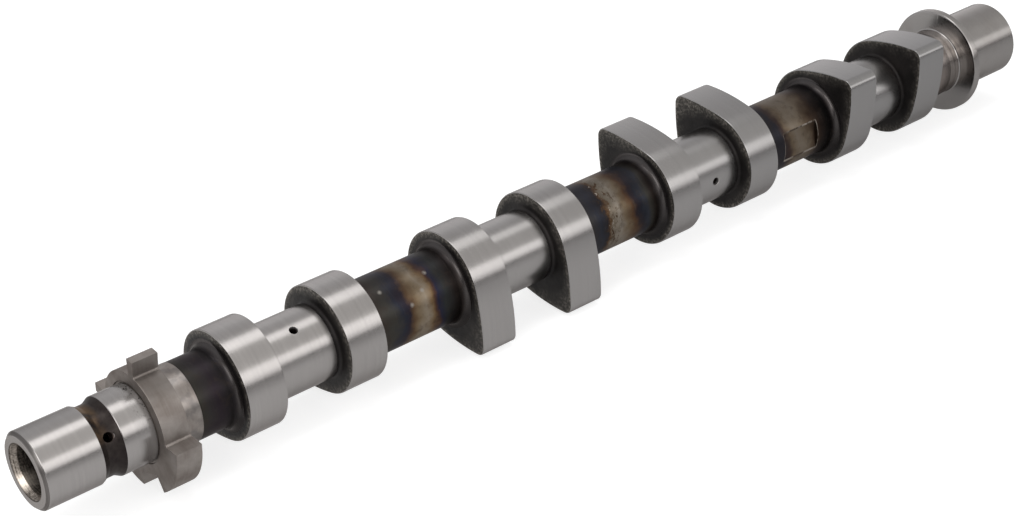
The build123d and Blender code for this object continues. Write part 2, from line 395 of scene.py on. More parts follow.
def lobe_radius(angles, nose_angle):
    """Radius of the three-arc cam at each angle."""
    nose_x = BASE_R + LIFT - LOBE_NOSE_R
    base_gap = FLANK_R - BASE_R
    nose_gap = FLANK_R - LOBE_NOSE_R
    flank_x = (base_gap ** 2 - nose_gap ** 2 + nose_x ** 2) / (2 * nose_x)
    flank_y = sqrt(base_gap ** 2 - flank_x ** 2)
    base_angle = atan2(flank_y, -flank_x)
    turn = atan2(flank_y, nose_x - flank_x)
    nose_limit = atan2(LOBE_NOSE_R * sin(turn), nose_x + LOBE_NOSE_R * cos(turn))
    away = np.abs((np.radians(angles - nose_angle) + pi) % (2 * pi) - pi)
    across = nose_x * np.sin(away)
    on_nose = nose_x * np.cos(away) + np.sqrt(np.maximum(LOBE_NOSE_R ** 2 - across ** 2, 0))
    along = np.cos(away) * flank_x - np.sin(away) * flank_y
    on_flank = along + np.sqrt(along ** 2 - base_gap ** 2 + FLANK_R ** 2)
    return np.where(away <= nose_limit, on_nose, np.where(away < base_angle, on_flank, BASE_R))


def tooth_edges():
    """Angles at which each tooth starts and ends."""
    step = 360 / len(TOOTH_SPANS)
    starts = [TOOTH_FIRST_ANGLE + step * tooth for tooth in range(len(TOOTH_SPANS))]
    return [(start, start + span) for start, span in zip(starts, TOOTH_SPANS)]


def root_radius(offset):
    """Radius of the ring in the fillet at a tooth's root, at an angle away from the tooth."""
    inward = radians(max(ROOT_SPAN - offset, 0))
    across = ROOT_CENTRE_R * sin(inward)
    depth = sqrt(max(TOOTH_ROOT_FILLET ** 2 - across ** 2, 0))
    return ROOT_CENTRE_R * cos(inward) - depth


def radius_by_tooth(angle, start, end):
    """Radius of the ring at an angle as one tooth leaves it: tooth, root fillet or plain ring."""
    half_wall = WALL_LEAN / 2
    past_start = turn_between(angle, start)
    past_end = turn_between(angle, end)
    if past_start > half_wall and past_end < -half_wall and (angle - start) % 360 < end - start:
        return TOOTH_R
    if -ROOT_SPAN <= past_start <= half_wall:
        return root_radius(max(-past_start, 0))
    if -half_wall <= past_end <= ROOT_SPAN:
        return root_radius(max(past_end, 0))
    return RING_ROOT_R


def ring_radius(angles):
    """Radius of the toothed ring at each angle."""
    edges = tooth_edges()
    return np.array([max(radius_by_tooth(angle, start, end) for start, end in edges) for angle in angles])


def flat_radius(angles):
    """Radius of the cast section where the flat is cut into it."""
    away = np.radians(angles - FLAT_ANGLE)
    cut = np.cos(away) > FLAT_FLOOR / SHAFT_R
    return np.where(cut, FLAT_FLOOR / np.where(cut, np.cos(away), 1), SHAFT_R)


def special_angles():
    """Angles at lobe noses, tooth walls, tooth roots and the edges of the flat."""
    angles = []
    count = round(NOSE_HALF_SPAN / NOSE_STEP)
    for nose_angle in NOSE_ANGLES:
        angles += [nose_angle + NOSE_STEP * k for k in range(-count, count + 1)]
    for start, end in tooth_edges():
        angles += [start + WALL_LEAN, end - WALL_LEAN]
        for share in ROOT_SHARES:
            angles += [start - ROOT_SPAN * share, end + ROOT_SPAN * share]
    for side in (-1, 1):
        for shift in (-FLAT_LINE_SPAN, 0, FLAT_LINE_SPAN / 2):
            angles.append(FLAT_ANGLE + side * (FLAT_HALF_SPAN + shift))
    return sorted(angle % 360 for angle in angles)


def sample_angles():
    """Angles of the skin's points: the special ones, and even ones between them."""
    special = special_angles()
    kept = special[:1]
    for angle in special[1:]:
        if angle - kept[-1] > WALL_LEAN / 3:
            kept.append(angle)
    even = [
        angle for angle in np.arange(0, 360, EVEN_STEP)
        if min(abs(turn_between(angle, other)) for other in kept) > EVEN_STEP / 4
    ]
    return np.array(sorted(kept + even))


class Skin:
    """Closed surface around the shaft's axis, made of rings of points from one end to the other."""

    def __init__(self, angles):
        self.angles = angles
        self.rings = []
        self.finishes = []
        self.rims = []

    def ring(self, x, r, finish, rim=0.0):
        """Adds a ring. Its finish is that of the band between the ring before it and itself."""
        count = len(self.angles)
        self.rings.append((np.broadcast_to(float(x), count), np.broadcast_to(r, count)))
        self.finishes.append(np.broadcast_to(finish, count))
        self.rims.append(rim)

    def fillet_up(self, x, r, radius, steps, finish):
        """Concave quarter fillet up to a front face at x."""
        for k in range(steps + 1):
            turn = radians(90 * k / steps)
            self.ring(x - radius + radius * sin(turn), r + radius - radius * cos(turn), finish)

    def fillet_down(self, x, r, radius, steps, finish):
        """Concave quarter fillet down from a back face at x."""
        for k in range(steps, -1, -1):
            turn = radians(90 * k / steps)
            self.ring(x + radius - radius * sin(turn), r + radius - radius * cos(turn), finish)

    def edge_up(self, x, r, size, finish, outer):
        """Rounded outer edge behind a front face at x, which is the rim where the face is a lobe's side."""
        self.ring(x, r - size, finish, 1.0 if finish == SIDE else 0.0)
        self.ring(x + EDGE_BELLY * size, r - EDGE_BELLY * size, outer)
        self.ring(x + size, r, outer)

    def edge_down(self, x, r, size, finish):
        """Rounded outer edge before a back face at x."""
        self.ring(x - size, r, finish)
        self.ring(x - EDGE_BELLY * size, r - EDGE_BELLY * size, finish)
        self.ring(x, r - size, finish)

    def points(self):
        """Points of all the rings, and the two on the axis that close the ends."""
        turns = np.radians(self.angles)
        rings = [np.stack([x, r * np.cos(turns), r * np.sin(turns)], axis=1) for x, r in self.rings]
        ends = [(self.rings[end][0][0], 0, 0) for end in (0, -1)]
        return [tuple(point) for point in np.concatenate([*rings, ends]) * MM]

    def faces(self):
        """Faces between the rings and over the ends, and the finish of each."""
        count = len(self.angles)
        steps = [(k, (k + 1) % count) for k in range(count)]
        faces, finishes = [], []
        for band in range(1, len(self.rings)):
            low, high = (band - 1) * count, band * count
            faces += [(low + k, low + after, high + after, high + k) for k, after in steps]
            finishes += [int(finish) for finish in self.finishes[band]]
        first, last = len(self.rings) * count, len(self.rings) * count + 1
        top = (len(self.rings) - 1) * count
        for k, after in steps:
            faces += [(first, after, k), (last, top + k, top + after)]
            finishes += [BORE, BORE]
        return faces, finishes

    def mesh(self, name):
        """One mesh of the whole skin, which keeps how close each point is to a lobe's rim."""
        faces, finishes = self.faces()
        mesh = bpy.data.meshes.new(name)
        mesh.from_pydata(self.points(), [], faces)
        mesh.polygons.foreach_set("material_index", finishes)
        rims = [rim for rim in self.rims for angle in self.angles]
        layer = mesh.attributes.new("rim", "FLOAT", "POINT")
        layer.data.foreach_set("value", rims + [0.0, 0.0])
        return mesh


def add_bore(skin):
    """Gallery, bore and its mouth, from the inside out to the nose face."""
    skin.ring(GALLERY_END_X + GALLERY_R / DRILL_SLOPE, DRILL_TIP_R, BORE)
    skin.ring(GALLERY_END_X, GALLERY_R, BORE)
    skin.ring(BORE_END_X + (BORE_R - GALLERY_R) / DRILL_SLOPE, GALLERY_R, BORE)
    skin.ring(BORE_END_X, BORE_R, BORE)
    skin.ring((BORE_MOUTH_R - BORE_R) / CONE_SLOPE, BORE_R, BORE)
    skin.ring(MOUTH_LIP, BORE_MOUTH_R - MOUTH_LIP / 3, BORE)
    skin.ring(0, BORE_MOUTH_R + MOUTH_LIP * 2 / 3, BORE)


def add_nose(skin):
    """Nose face, bevel, ground nose, oil groove and the start of the front journal."""
    bevel_r = NOSE_R - NOSE_CHAMFER
    bevel_drop = 1.2 * BEVEL_ROUND
    skin.ring(0, bevel_r - FACE_EDGE, TURNED)
    skin.ring(FACE_EDGE, bevel_r, TURNED)
    skin.ring(NOSE_CHAMFER - BEVEL_ROUND, NOSE_R - bevel_drop, BEVEL)
    skin.ring(NOSE_CHAMFER + BEVEL_ROUND, NOSE_R, GROUND)
    skin.ring(NOSE_END_X - 2.5 * FACE_EDGE, NOSE_R, GROUND)
    skin.ring(NOSE_END_X, NOSE_R - FACE_EDGE, GROUND)
    for place, height in GROOVE_PROFILE:
        skin.ring(GROOVE_X + place, GROOVE_R + height, GROOVE)
    skin.ring(FRONT_JOURNAL_X - BEVEL_ROUND, JOURNAL_R - bevel_drop, GROOVE)
    skin.ring(FRONT_JOURNAL_X + BEVEL_ROUND, JOURNAL_R, GROUND)


def add_trigger_ring(skin):
    """End of the front journal, the toothed ring with its turned relief, and the collar."""
    relief_front = RING_X - RELIEF_FRONT
    relief_floor = RING_X + RELIEF_DEPTH
    back = RING_X + RING_LENGTH
    profile = ring_radius(skin.angles)
    skin.ring(relief_front, JOURNAL_R, GROUND)
    skin.ring(relief_front, RELIEF_R, RING)
    skin.ring(relief_floor, RELIEF_R, RING)
    skin.ring(relief_floor, RELIEF_OUTER_R - RELIEF_SLOPE, RING)
    skin.ring(RING_X, RELIEF_OUTER_R, RING)
    skin.edge_up(RING_X, profile, RING_EDGE, RING, RING)
    skin.edge_down(back, profile, RING_EDGE, RING)
    skin.fillet_down(back, COLLAR_R, COLLAR_FILLET, SMALL_FILLET_STEPS, RING)
    skin.ring(COLLAR_END_X - COLLAR_EDGE, COLLAR_R, RING)
    skin.ring(COLLAR_END_X, SHAFT_R, BARE)


def add_lobe(skin, x, nose_angle):
    """One lobe: dark sides with a scaly rim, and a ground running surface."""
    back = x + LOBE_WIDTH
    profile = lobe_radius(skin.angles, nose_angle)
    skin.ring(x, profile - LOBE_RIM, SIDE, LOBE_RIM_WEAR)
    skin.edge_up(x, profile, LOBE_EDGE, SIDE, GROUND)
    skin.edge_down(back, profile, LOBE_EDGE, GROUND)
    skin.rims[-1] = 1.0
    skin.ring(back, profile - LOBE_RIM, SIDE, LOBE_RIM_WEAR)


def start_journal(skin, lobe_back):
    """Small fillet, dark relief and front edge of a journal behind a lobe."""
    start = lobe_back + RELIEF_LENGTH
    skin.fillet_down(lobe_back, RELIEF_R, RELIEF_FILLET, SMALL_FILLET_STEPS, SIDE)
    skin.ring(start, RELIEF_R, SIDE)
    skin.ring(start, JOURNAL_R - JOURNAL_EDGE, GROUND)
    skin.ring(start + JOURNAL_EDGE, JOURNAL_R, GROUND)


def end_journal(skin, next_lobe):
    """Back edge, dark relief and small fillet of a journal before a lobe."""
    end = next_lobe - RELIEF_LENGTH
    skin.ring(end - JOURNAL_EDGE, JOURNAL_R, GROUND)
    skin.ring(end, JOURNAL_R - JOURNAL_EDGE, GROUND)
    skin.ring(end, RELIEF_R, SIDE)
    skin.fillet_up(next_lobe, RELIEF_R, RELIEF_FILLET, SMALL_FILLET_STEPS, SIDE)


def add_cylinder(skin, cylinder):
    """A cylinder's two lobes with the journal between them."""
    front, second = lobe_front(cylinder, 0), lobe_front(cylinder, 1)
    skin.fillet_up(front, SHAFT_R, SHAFT_FILLET, FILLET_STEPS, CAST)
    add_lobe(skin, front, NOSE_ANGLES[cylinder])
    start_journal(skin, front + LOBE_WIDTH)
    end_journal(skin, second)
    add_lobe(skin, second, NOSE_ANGLES[cylinder])


def add_flat(skin):
    """Flat cut into the last cast section, with bare metal along its edges."""
    start = lobe_front(CYLINDERS - 2, 1) + LOBE_WIDTH
    middle = (start + lobe_front(CYLINDERS - 1, 0)) / 2
    first, last = middle - FLAT_LENGTH / 2, middle + FLAT_LENGTH / 2
    away = np.abs(turn_between(skin.angles, FLAT_ANGLE))
    inner = FLAT_HALF_SPAN - 1.2 * FLAT_LINE_SPAN
    outer = FLAT_HALF_SPAN + 0.6 * FLAT_LINE_SPAN
    along = np.where((away > inner) & (away < outer), BARE, CAST)
    near = np.where(away < FLAT_HALF_SPAN, BARE, CAST)
    floor = flat_radius(skin.angles)
    skin.ring(first - FLAT_LINE / 2, SHAFT_R, CAST)
    skin.ring(first, SHAFT_R, near)
    skin.ring(first, floor, CAST)
    skin.ring(last, floor, along)
    skin.ring(last, SHAFT_R, CAST)
    skin.ring(last + FLAT_LINE, SHAFT_R, near)


def add_rear(skin):
    """Rear journal, thrust flange, stub and centre hole."""
    start_journal(skin, lobe_front(CYLINDERS - 1, 1) + LOBE_WIDTH)
    thrust_x = FLANGE_X - THRUST_RELIEF_LENGTH
    thrust_r = JOURNAL_R - THRUST_RELIEF_DEPTH
    back = FLANGE_X + FLANGE_LENGTH
    skin.ring(thrust_x, JOURNAL_R, GROUND)
    skin.ring(thrust_x + THRUST_RELIEF_DEPTH, thrust_r, TURNED)
    skin.fillet_up(FLANGE_X, thrust_r, FLANGE_FILLET, SMALL_FILLET_STEPS, TURNED)
    skin.edge_up(FLANGE_X, FLANGE_R, FLANGE_ROUND, TURNED, TURNED)
    skin.edge_down(back, FLANGE_R, FLANGE_EDGE, TURNED)
    skin.fillet_down(back, STUB_R, FLANGE_FILLET, SMALL_FILLET_STEPS, TURNED)
    skin.edge_down(STUB_END_X, STUB_R, STUB_EDGE, TURNED)
    pilot_x = STUB_END_X - (CENTRE_MOUTH_R - CENTRE_PILOT_R) / CONE_SLOPE
    skin.ring(STUB_END_X, CENTRE_MOUTH_R, TURNED)
    skin.ring(pilot_x, CENTRE_PILOT_R, TURNED)
    skin.ring(pilot_x - CENTRE_PILOT_LENGTH, CENTRE_PILOT_R, BORE)


def camshaft_mesh():
    """The whole shaft from the end of the gallery round to the rear centre hole, before its oil holes."""
    skin = Skin(sample_angles())
    add_bore(skin)
    add_nose(skin)
    add_trigger_ring(skin)
    for cylinder in range(CYLINDERS):
        add_cylinder(skin, cylinder)
        if cylinder < CYLINDERS - 1:
            back = lobe_front(cylinder, 1) + LOBE_WIDTH
            skin.fillet_down(back, SHAFT_R, SHAFT_FILLET, FILLET_STEPS, CAST)
        if cylinder == CYLINDERS - 2:
            add_flat(skin)
    add_rear(skin)
    return skin.mesh("camshaft_skin")


def weld(mesh):
    """Joins the points that fall together where rings meet, and turns every face outwards."""
    work = bmesh.new()
    work.from_mesh(mesh)
    bmesh.ops.remove_doubles(work, verts=work.verts, dist=WELD_DISTANCE * MM)
    bmesh.ops.recalc_face_normals(work, faces=work.faces)
    work.to_mesh(mesh)
    work.free()


def put_in_scene(name, data):
    """Object that holds a mesh, a lamp or the camera."""
    thing = bpy.data.objects.new(name, data)
    bpy.context.scene.collection.objects.link(thing)
    return thing


def oil_holes():
    """Place along the shaft, angle, radius and radius of the surface of every oil hole."""
    holes = [GROOVE_HOLE]
    for cylinder, angle in enumerate(JOURNAL_HOLE_ANGLES):
        middle = (lobe_front(cylinder, 0) + LOBE_WIDTH + lobe_front(cylinder, 1)) / 2
        holes.append((middle, angle, JOURNAL_HOLE_R, JOURNAL_R))
    holes.append((REAR_HOLE_X, REAR_HOLE_ANGLE, JOURNAL_HOLE_R, JOURNAL_R))
    return holes


def add_cutter(work, x, angle, radius, surface):
    """One round cutter from near the shaft's axis out through the surface, where it flares."""
    out = direction(angle)
    along = Vector((1, 0, 0))
    across = out.cross(along)
    turns = [2 * pi * k / HOLE_SIDES for k in range(HOLE_SIDES)]
    loops = []
    for height, r in (
        (HOLE_START_R, radius),
        (surface - HOLE_FLARE, radius),
        (surface + 3 * HOLE_FLARE, radius + 4 * HOLE_FLARE),
    ):
        centre = Vector((x, 0, 0)) + out * height
        spots = [centre + along * (r * cos(turn)) + across * (r * sin(turn)) for turn in turns]
        loops.append([work.verts.new(spot * MM) for spot in spots])
    for low, high in zip(loops, loops[1:]):
        for k in range(HOLE_SIDES):
            after = (k + 1) % HOLE_SIDES
            work.faces.new((low[k], low[after], high[after], high[k]))
    work.faces.new(loops[0][::-1])
    work.faces.new(loops[-1])


def hole_cutter(materials):
    """The cutters of all the oil holes, as one object."""
    work = bmesh.new()
    for hole in oil_holes():
        add_cutter(work, *hole)
    bmesh.ops.recalc_face_normals(work, faces=work.faces)
    for face in work.faces:
        face.material_index = BORE
    mesh = bpy.data.meshes.new("hole_cutter")
    work.to_mesh(mesh)
    work.free()
    for material in materials:
        mesh.materials.append(material)
    return put_in_scene("hole_cutter", mesh)


class Nodes:
    """Short way to build a tree of shader nodes."""

    def __init__(self, tree):
        self.tree = tree

    def add(self, kind):
        return self.tree.nodes.new(kind)

    def link(self, source, target):
        self.tree.links.new(source, target)

    def put(self, value, socket):
        """Links a node's output to a socket, or writes a number, a vector or a colour there."""
        if isinstance(value, bpy.types.NodeSocket):
            self.link(value, socket)
        elif socket.type == "RGBA":
            socket.default_value = (*value, 1.0)
        else:
            socket.default_value = value

    def coordinates(self, name):
        return self.add("ShaderNodeTexCoord").outputs[name]

    def split(self, vector):
        node = self.add("ShaderNodeSeparateXYZ")
        self.link(vector, node.inputs[0])
        return node.outputs

    def vector(self, x, y, z):
        node = self.add("ShaderNodeCombineXYZ")
        for value, socket in zip((x, y, z), node.inputs):
            self.put(value, socket)
        return node.outputs[0]

    def math(self, operation, *values):
        node = self.add("ShaderNodeMath")
        node.operation = operation
        for value, socket in zip(values, node.inputs):
            self.put(value, socket)
        return node.outputs[0]

    def product(self, value, *factors):
        for factor in factors:
            value = self.math("MULTIPLY", value, factor)
        return value

    def total(self, value, *others):
        for other in others:
            value = self.math("ADD", value, other)
        return value

    def minus(self, value, other):
        return self.math("SUBTRACT", value, other)

    def rescale(self, value, low, high, at_low=0.0, at_high=1.0):
        """Goes evenly from one number to another while a value rises, and stays there outside."""
        node = self.add("ShaderNodeMapRange")
        self.put(value, node.inputs["Value"])
        limits = (("From Min", low), ("From Max", high), ("To Min", at_low), ("To Max", at_high))
        for name, number in limits:
            node.inputs[name].default_value = number
        return node.outputs["Result"]

    def mix(self, share, first, second):
        node = self.add("ShaderNodeMix")
        node.data_type = "RGBA"
        self.put(share, node.inputs["Factor"])
        self.put(first, node.inputs[6])
        self.put(second, node.inputs[7])
        return node.outputs[2]

    def ramp(self, value, stops):
        node = self.add("ShaderNodeValToRGB")
        self.put(value, node.inputs["Fac"])
        elements = node.color_ramp.elements
        while len(elements) < len(stops):
            elements.new(0.5)
        for element, (place, colour) in zip(elements, stops):
            element.position = place
            element.color = (*colour, 1.0)
        return node.outputs["Color"]

    def distance(self, vector, other=(0.0, 0.0, 0.0)):
        node = self.add("ShaderNodeVectorMath")
        node.operation = "DISTANCE"
        self.link(vector, node.inputs[0])
        node.inputs[1].default_value = other
        return node.outputs["Value"]

    def by_ray(self, seen, reflected, diffuse):
        """Brightness for rays that see a thing directly or through glass, in metal, or by soft light."""
        path = self.add("ShaderNodeLightPath").outputs
        direct = self.math("MAXIMUM", path["Is Camera Ray"], path["Is Transmission Ray"])
        glossy = self.math("MAXIMUM", self.minus(path["Is Glossy Ray"], direct), 0.0)
        rest = self.minus(1.0, self.total(direct, glossy))
        return self.total(
            self.product(direct, seen), self.product(glossy, reflected), self.product(rest, diffuse)
        )


class Finish(Nodes):
    """Material of one kind of surface on the shaft, by places on the shaft in millimetres."""

    def __init__(self, name):
        self.material = bpy.data.materials.new(name)
        self.material.use_nodes = True
        super().__init__(self.material.node_tree)
        self.shader = self.tree.nodes["Principled BSDF"]
        self.spot = self.coordinates("Object")
        self.x, self.y, self.z = self.split(self.spot)

    def around(self):
        """Angle about the shaft, in radians."""
        return self.math("ARCTAN2", self.z, self.y)

    def near_angle(self, angle, span, at_low, at_high):
        """Changes between two angles away from a direction."""
        away = self.math("ABSOLUTE", self.minus(self.around(), radians(angle)))
        return self.rescale(away, radians(span[0]), radians(span[1]), at_low, at_high)

    def along(self, places, at_low=0.0, at_high=1.0):
        """Changes between two places along the shaft."""
        return self.rescale(self.x, places[0] * MM, places[1] * MM, at_low, at_high)

    def stretch(self, places):
        """Comes in between the first two places along the shaft and fades between the last two."""
        return self.product(self.along(places[:2]), self.along(places[2:], 1.0, 0.0))

    def upward(self, heights, at_low=0.0, at_high=1.0):
        """Changes between two heights."""
        return self.rescale(self.z, heights[0] * MM, heights[1] * MM, at_low, at_high)

    def across(self):
        """Distance from the shaft's axis, in metres."""
        return self.math("SQRT", self.total(self.product(self.y, self.y), self.product(self.z, self.z)))

    def outward(self, radii, at_low=0.0, at_high=1.0):
        """Changes between two distances from the shaft's axis."""
        return self.rescale(self.across(), radii[0] * MM, radii[1] * MM, at_low, at_high)

    def noise(self, scale, detail, roughness, vector=None):
        node = self.add("ShaderNodeTexNoise")
        self.link(self.spot if vector is None else vector, node.inputs["Vector"])
        node.inputs["Scale"].default_value = scale
        node.inputs["Detail"].default_value = detail
        node.inputs["Roughness"].default_value = roughness
        return node.outputs["Fac"]

    def lines(self, per_mm, wobble=0.6, detail=3.0):
        """Fine lines that run round the shaft, as a grinding wheel or a cutter leaves them."""
        place = self.vector(self.product(self.x, per_mm / MM), self.product(self.around(), wobble), 0.0)
        return self.noise(1.0, detail, 0.65, place)

    def bump(self, height, strength, distance):
        node = self.add("ShaderNodeBump")
        node.inputs["Strength"].default_value = strength
        node.inputs["Distance"].default_value = distance
        self.put(height, node.inputs["Height"])
        self.link(node.outputs["Normal"], self.shader.inputs["Normal"])

    def done(self, colour, roughness, metallic):
        """Puts the three main values on the shader and gives the material."""
        for name, value in (("Base Color", colour), ("Roughness", roughness), ("Metallic", metallic)):
            self.put(value, self.shader.inputs[name])
        self.shader.inputs["Specular Tint"].default_value = EDGE_TINT
        return self.material


def ground_material():
    """Ground bearing and cam surfaces, with a few pits before the trigger ring."""
    n = Finish("ground_steel")
    lines = n.lines(per_mm=0.9, wobble=0.3, detail=2)
    cloud = n.noise(scale=55, detail=2, roughness=0.5)
    speck = n.noise(scale=1100, detail=2, roughness=0.6)
    colour = n.mix(n.rescale(lines, 0.3, 0.7), GROUND_DARK, GROUND_PALE)
    colour = n.mix(n.rescale(cloud, 0.45, 0.75, 0.0, 0.3), colour, GROUND_WORN)
    colour = n.mix(n.along(GROUND_FAR_X, 0.0, 0.6), colour, GROUND_FAR)
    pits = n.product(n.stretch(PIT_X), n.upward(PIT_Z), n.rescale(speck, 0.60, 0.66))
    colour = n.mix(pits, colour, PIT)
    bearing = n.product(n.outward(BEARING_R, 1.0, 0.0), n.along(BEARING_X))
    stain_and_painted_shade = n.product(bearing, n.along(BEARING_STAIN_X), n.rescale(cloud, 0.42, 0.58, 0.1, 0.7))
    colour = n.mix(stain_and_painted_shade, colour, BEARING_STAIN)
    roughness = n.rescale(lines, 0.3, 0.7, *GROUND_ROUGHNESS)
    roughness = n.total(roughness, n.product(bearing, BEARING_ROUGHER))
    dull = n.product(n.along(DULL_X, 0.0, 0.45), n.math("LESS_THAN", n.x, RING_X * MM))
    return n.done(colour, roughness, n.minus(1.0, dull))


def turned_material():
    """Turned nose face, flange and rear stub, and the scored relief before the flange, brown with wear and
    painted brighter as light.
    """
    n = Finish("turned_steel")
    lines = n.lines(per_mm=2.2)
    circles = n.vector(n.product(n.across(), TURNED_CIRCLES_PER_MM / MM), 0.0, 0.0)
    circles = n.noise(scale=1, detail=2, roughness=0.6, vector=circles)
    cloud = n.noise(scale=70, detail=4, roughness=0.6)
    tone = n.total(n.product(lines, 0.5), n.product(circles, 0.5))
    colour = n.mix(n.rescale(tone, 0.35, 0.65), TURNED_DARK, TURNED_PALE)
    colour = n.mix(n.rescale(cloud, 0.5, 0.75, 0.0, 0.5), colour, TURNED_WORN)
    thrust = n.stretch(THRUST_X)
    # painted light mixed with brown wear on the relief before the flange
    painted_light_and_wear = n.mix(n.rescale(cloud, 0.38, 0.62), THRUST_PAINTED_BRIGHT, THRUST_BROWN)
    colour = n.mix(n.product(thrust, n.rescale(tone, 0.3, 0.7, 0.75, 1.0)), colour, painted_light_and_wear)
    colour = n.mix(n.product(thrust, n.rescale(lines, 0.50, 0.60, 0.0, 0.55)), colour, THRUST_SCORE)
    n.bump(tone, strength=0.03, distance=0.00002)
    return n.done(colour, n.rescale(tone, 0.3, 0.7, *TURNED_ROUGHNESS), 1.0)


def bevel_material():
    """Bevel at the front of the nose, painted darker than the steel beside it as shade."""
    n = Finish("nose_bevel")
    colour = n.mix(n.rescale(n.lines(per_mm=3), 0.35, 0.65), BEVEL_SHADED_DARK, BEVEL_SHADED_PALE)
    return n.done(colour, 0.30, 1.0)


def bare_material():
    """Bright bare metal at cut edges."""
    n = Finish("bare_edge")
    speck = n.noise(scale=210, detail=4, roughness=0.7)
    colour = n.mix(n.rescale(speck, 0.42, 0.56), BARE_PALE, BARE_DARK)
    return n.done(colour, 0.4, 0.9)


def ring_material():
    """Milled trigger ring, with painted shade that darkens its upper side, and its smoother blotched collar.
    """
    n = Finish("milled_ring")
    lines = n.lines(per_mm=1.6, wobble=1.5)
    cloud = n.noise(scale=120, detail=4, roughness=0.6)
    grain = n.noise(scale=1500, detail=2, roughness=0.6)
    patch = n.noise(scale=190, detail=3, roughness=0.6)
    colour = n.mix(n.rescale(cloud, 0.36, 0.64), RING_PALE, RING_BROWN)
    colour = n.mix(n.rescale(lines, 0.35, 0.7, 0.0, 0.25), colour, RING_LINE)
    collar = n.along(COLLAR_X)
    # painted shade on the ring's upper side
    stain_and_painted_shade = n.near_angle(RING_PAINTED_SHADE_ANGLE, RING_PAINTED_SHADE_SPAN, 0.6, 0.0)
    stain_and_painted_shade = n.product(stain_and_painted_shade, n.rescale(cloud, 0.3, 0.6, 1.0, 0.8), n.minus(n.along(RING_PAINTED_SHADE_X), collar))
    colour = n.mix(stain_and_painted_shade, colour, RING_PAINTED_SHADE)
    colour = n.mix(n.product(n.rescale(patch, 0.46, 0.60), collar, 0.5), colour, COLLAR_BLOTCH)
    roughness = n.rescale(cloud, 0.3, 0.7, *RING_ROUGHNESS)
    n.bump(n.total(grain, lines), strength=0.12, distance=0.00003)
    return n.done(colour, n.minus(roughness, n.product(collar, COLLAR_SMOOTHER)), 1.0)


def groove_material():
    """Oil groove: dark, rusty brown at the upper front."""
    n = Finish("groove_skin")
    cloud = n.noise(scale=260, detail=4, roughness=0.65)
    patch = n.noise(scale=150, detail=3, roughness=0.6)
    colour = n.mix(n.rescale(cloud, 0.35, 0.7), GROOVE_BLACK, GROOVE_GREY)
    rust = n.product(n.upward(RUST_Z), n.along(RUST_X, 1.0, 0.0), n.rescale(patch, 0.36, 0.56), 0.85)
    colour = n.mix(rust, colour, RUST)
    n.bump(cloud, strength=0.25, distance=0.00008)
    return n.done(colour, n.rescale(patch, 0.4, 0.7, *GROOVE_ROUGHNESS), 0.75)


def bore_material():
    """Bore and oil holes: worn at the mouth, with a painted golden highlight on the mouth's lower +Y side,
    painted shade that darkens them further in, and painted light on the holes' walls near the surface.
    """
    n = Finish("bore_wall")
    speck = n.noise(scale=1500, detail=3, roughness=0.65)
    lines = n.lines(per_mm=2.6, wobble=1.2)
    cloud = n.noise(scale=260, detail=3, roughness=0.6)
    depth = n.total(n.x, n.rescale(cloud, 0.3, 0.7, -MM, MM))
    mouth = n.rescale(depth, BORE_WEAR_AND_HIGHLIGHT_X[0] * MM, BORE_WEAR_AND_HIGHLIGHT_X[1] * MM, 1.0, 0.0)
    # painted highlight on the mouth's wall, mixed into its worn specks
    painted_highlight = n.near_angle(BORE_HIGHLIGHT_ANGLE, BORE_HIGHLIGHT_SPAN, 0.36, 0.0)
    level = n.total(n.product(n.total(speck, lines), 0.5), painted_highlight)
    worn_and_highlight = n.mix(n.rescale(level, 0.42, 0.93), BORE_WORN_DARK, BORE_WORN_HIGHLIGHT_PALE)
    # painted shade further in
    deep = n.mix(n.rescale(cloud, 0.35, 0.65), BORE_DEEP_BROWN, BORE_DEEP_BLACK)
    colour = n.mix(mouth, deep, worn_and_highlight)
    lip = n.product(n.outward(LIP_R), n.along(LIP_X, 1.0, 0.0), 0.8)
    colour = n.mix(lip, colour, LIP_DARK)
    # painted light on the oil holes' walls near the surface
    colour = n.mix(n.outward(HOLE_PAINTED_LIGHT_R), colour, HOLE_PAINTED_LIGHT)
    n.bump(level, strength=0.30, distance=0.0001)
    return n.done(colour, 0.40, 0.8)


def side_material():
    """Unmachined sides of the lobes: black scale, brown grey and worn near the rim."""
    n = Finish("lobe_side_scale")
    rim = n.add("ShaderNodeAttribute")
    rim.attribute_name = "rim"
    mottle = n.noise(scale=420, detail=5, roughness=0.7)
    grit = n.noise(scale=1000, detail=4, roughness=0.75)
    cloud = n.noise(scale=90, detail=3, roughness=0.55)
    colour = n.mix(n.rescale(cloud, 0.35, 0.7), SIDE_BLACK, SIDE_DARK)
    upper = n.product(n.upward(SIDE_UPPER_Z), n.along(SIDE_FAR_X, 1.0, 0.0), 0.24)
    reach = n.total(n.product(rim.outputs["Fac"], 0.8), n.product(cloud, 0.5), upper)
    reach = n.rescale(reach, 0.42, 0.95)
    colour = n.mix(n.product(reach, 0.7), colour, SIDE_BROWN)
    flakes = n.product(n.rescale(grit, 0.45, 0.64), n.rescale(mottle, 0.36, 0.56, 0.25, 1.0))
    colour = n.mix(n.product(reach, flakes, n.along(SIDE_FAR_X, 1.0, 0.7)), colour, SIDE_WORN)
    n.shader.inputs["Specular IOR Level"].default_value = 0.3
    n.bump(n.total(mottle, n.product(grit, 0.6)), strength=0.5, distance=0.00016)
    return n.done(colour, n.rescale(mottle, 0.3, 0.7, *SIDE_ROUGHNESS), 0.35)


